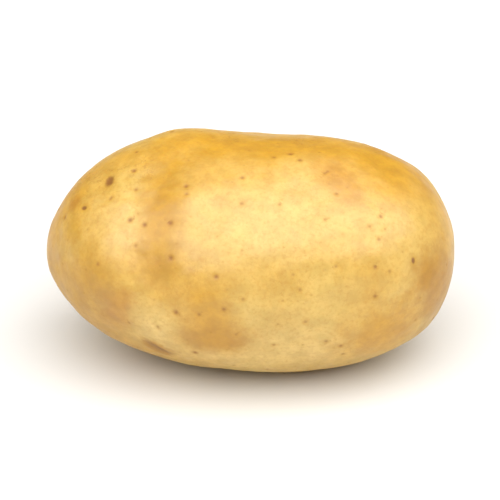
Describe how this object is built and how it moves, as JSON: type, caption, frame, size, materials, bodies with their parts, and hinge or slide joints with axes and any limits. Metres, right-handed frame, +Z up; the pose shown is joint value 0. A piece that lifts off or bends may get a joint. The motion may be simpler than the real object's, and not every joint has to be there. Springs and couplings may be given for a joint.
{
  "type": "potato",
  "caption": "Whole raw yellow table potato, long oval tuber with shallow eyes and fine brown pores, lying on a small flat spot.",
  "frame": {"origin": "middle of the potato's bounding box in plan, on the surface it lies on", "axes": "+X along the tuber from its rose end to its stem end, +Y to its back, +Z up"},
  "size_m": [0.0884, 0.057, 0.0487],
  "materials": {
    "potato_skin": "thin smooth washed potato skin, straw yellow with golden patches, brown pores and eyes, soft satin sheen"
  },
  "bodies": {
    "root": {"potato": "potato_skin"}
  },
  "joints": []
}
